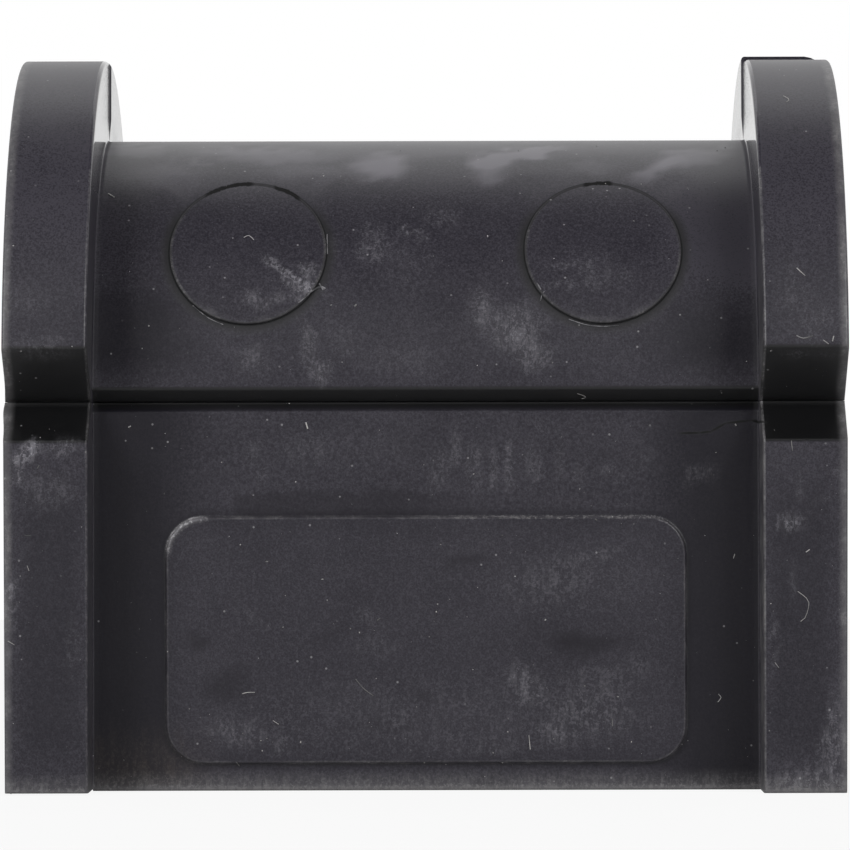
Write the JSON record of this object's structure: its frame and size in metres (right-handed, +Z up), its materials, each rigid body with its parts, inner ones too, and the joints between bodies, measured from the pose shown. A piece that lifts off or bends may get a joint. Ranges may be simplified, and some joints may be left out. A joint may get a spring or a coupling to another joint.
{
  "type": "sway bar bushing",
  "caption": "Flanged rubber bushing, split along one side, with a round bore that grips an anti-roll bar under a strap and a flat base.",
  "frame": {"origin": "middle of the flat base, straight below the bore axis", "axes": "+X along the bore, -Y towards the slit side with the pad, +Z up from the base"},
  "size_m": [0.065, 0.0568, 0.0587],
  "materials": {
    "rubber": "satin moulded rubber, dusty"
  },
  "bodies": {
    "root": {"bushing": "rubber"}
  },
  "joints": []
}
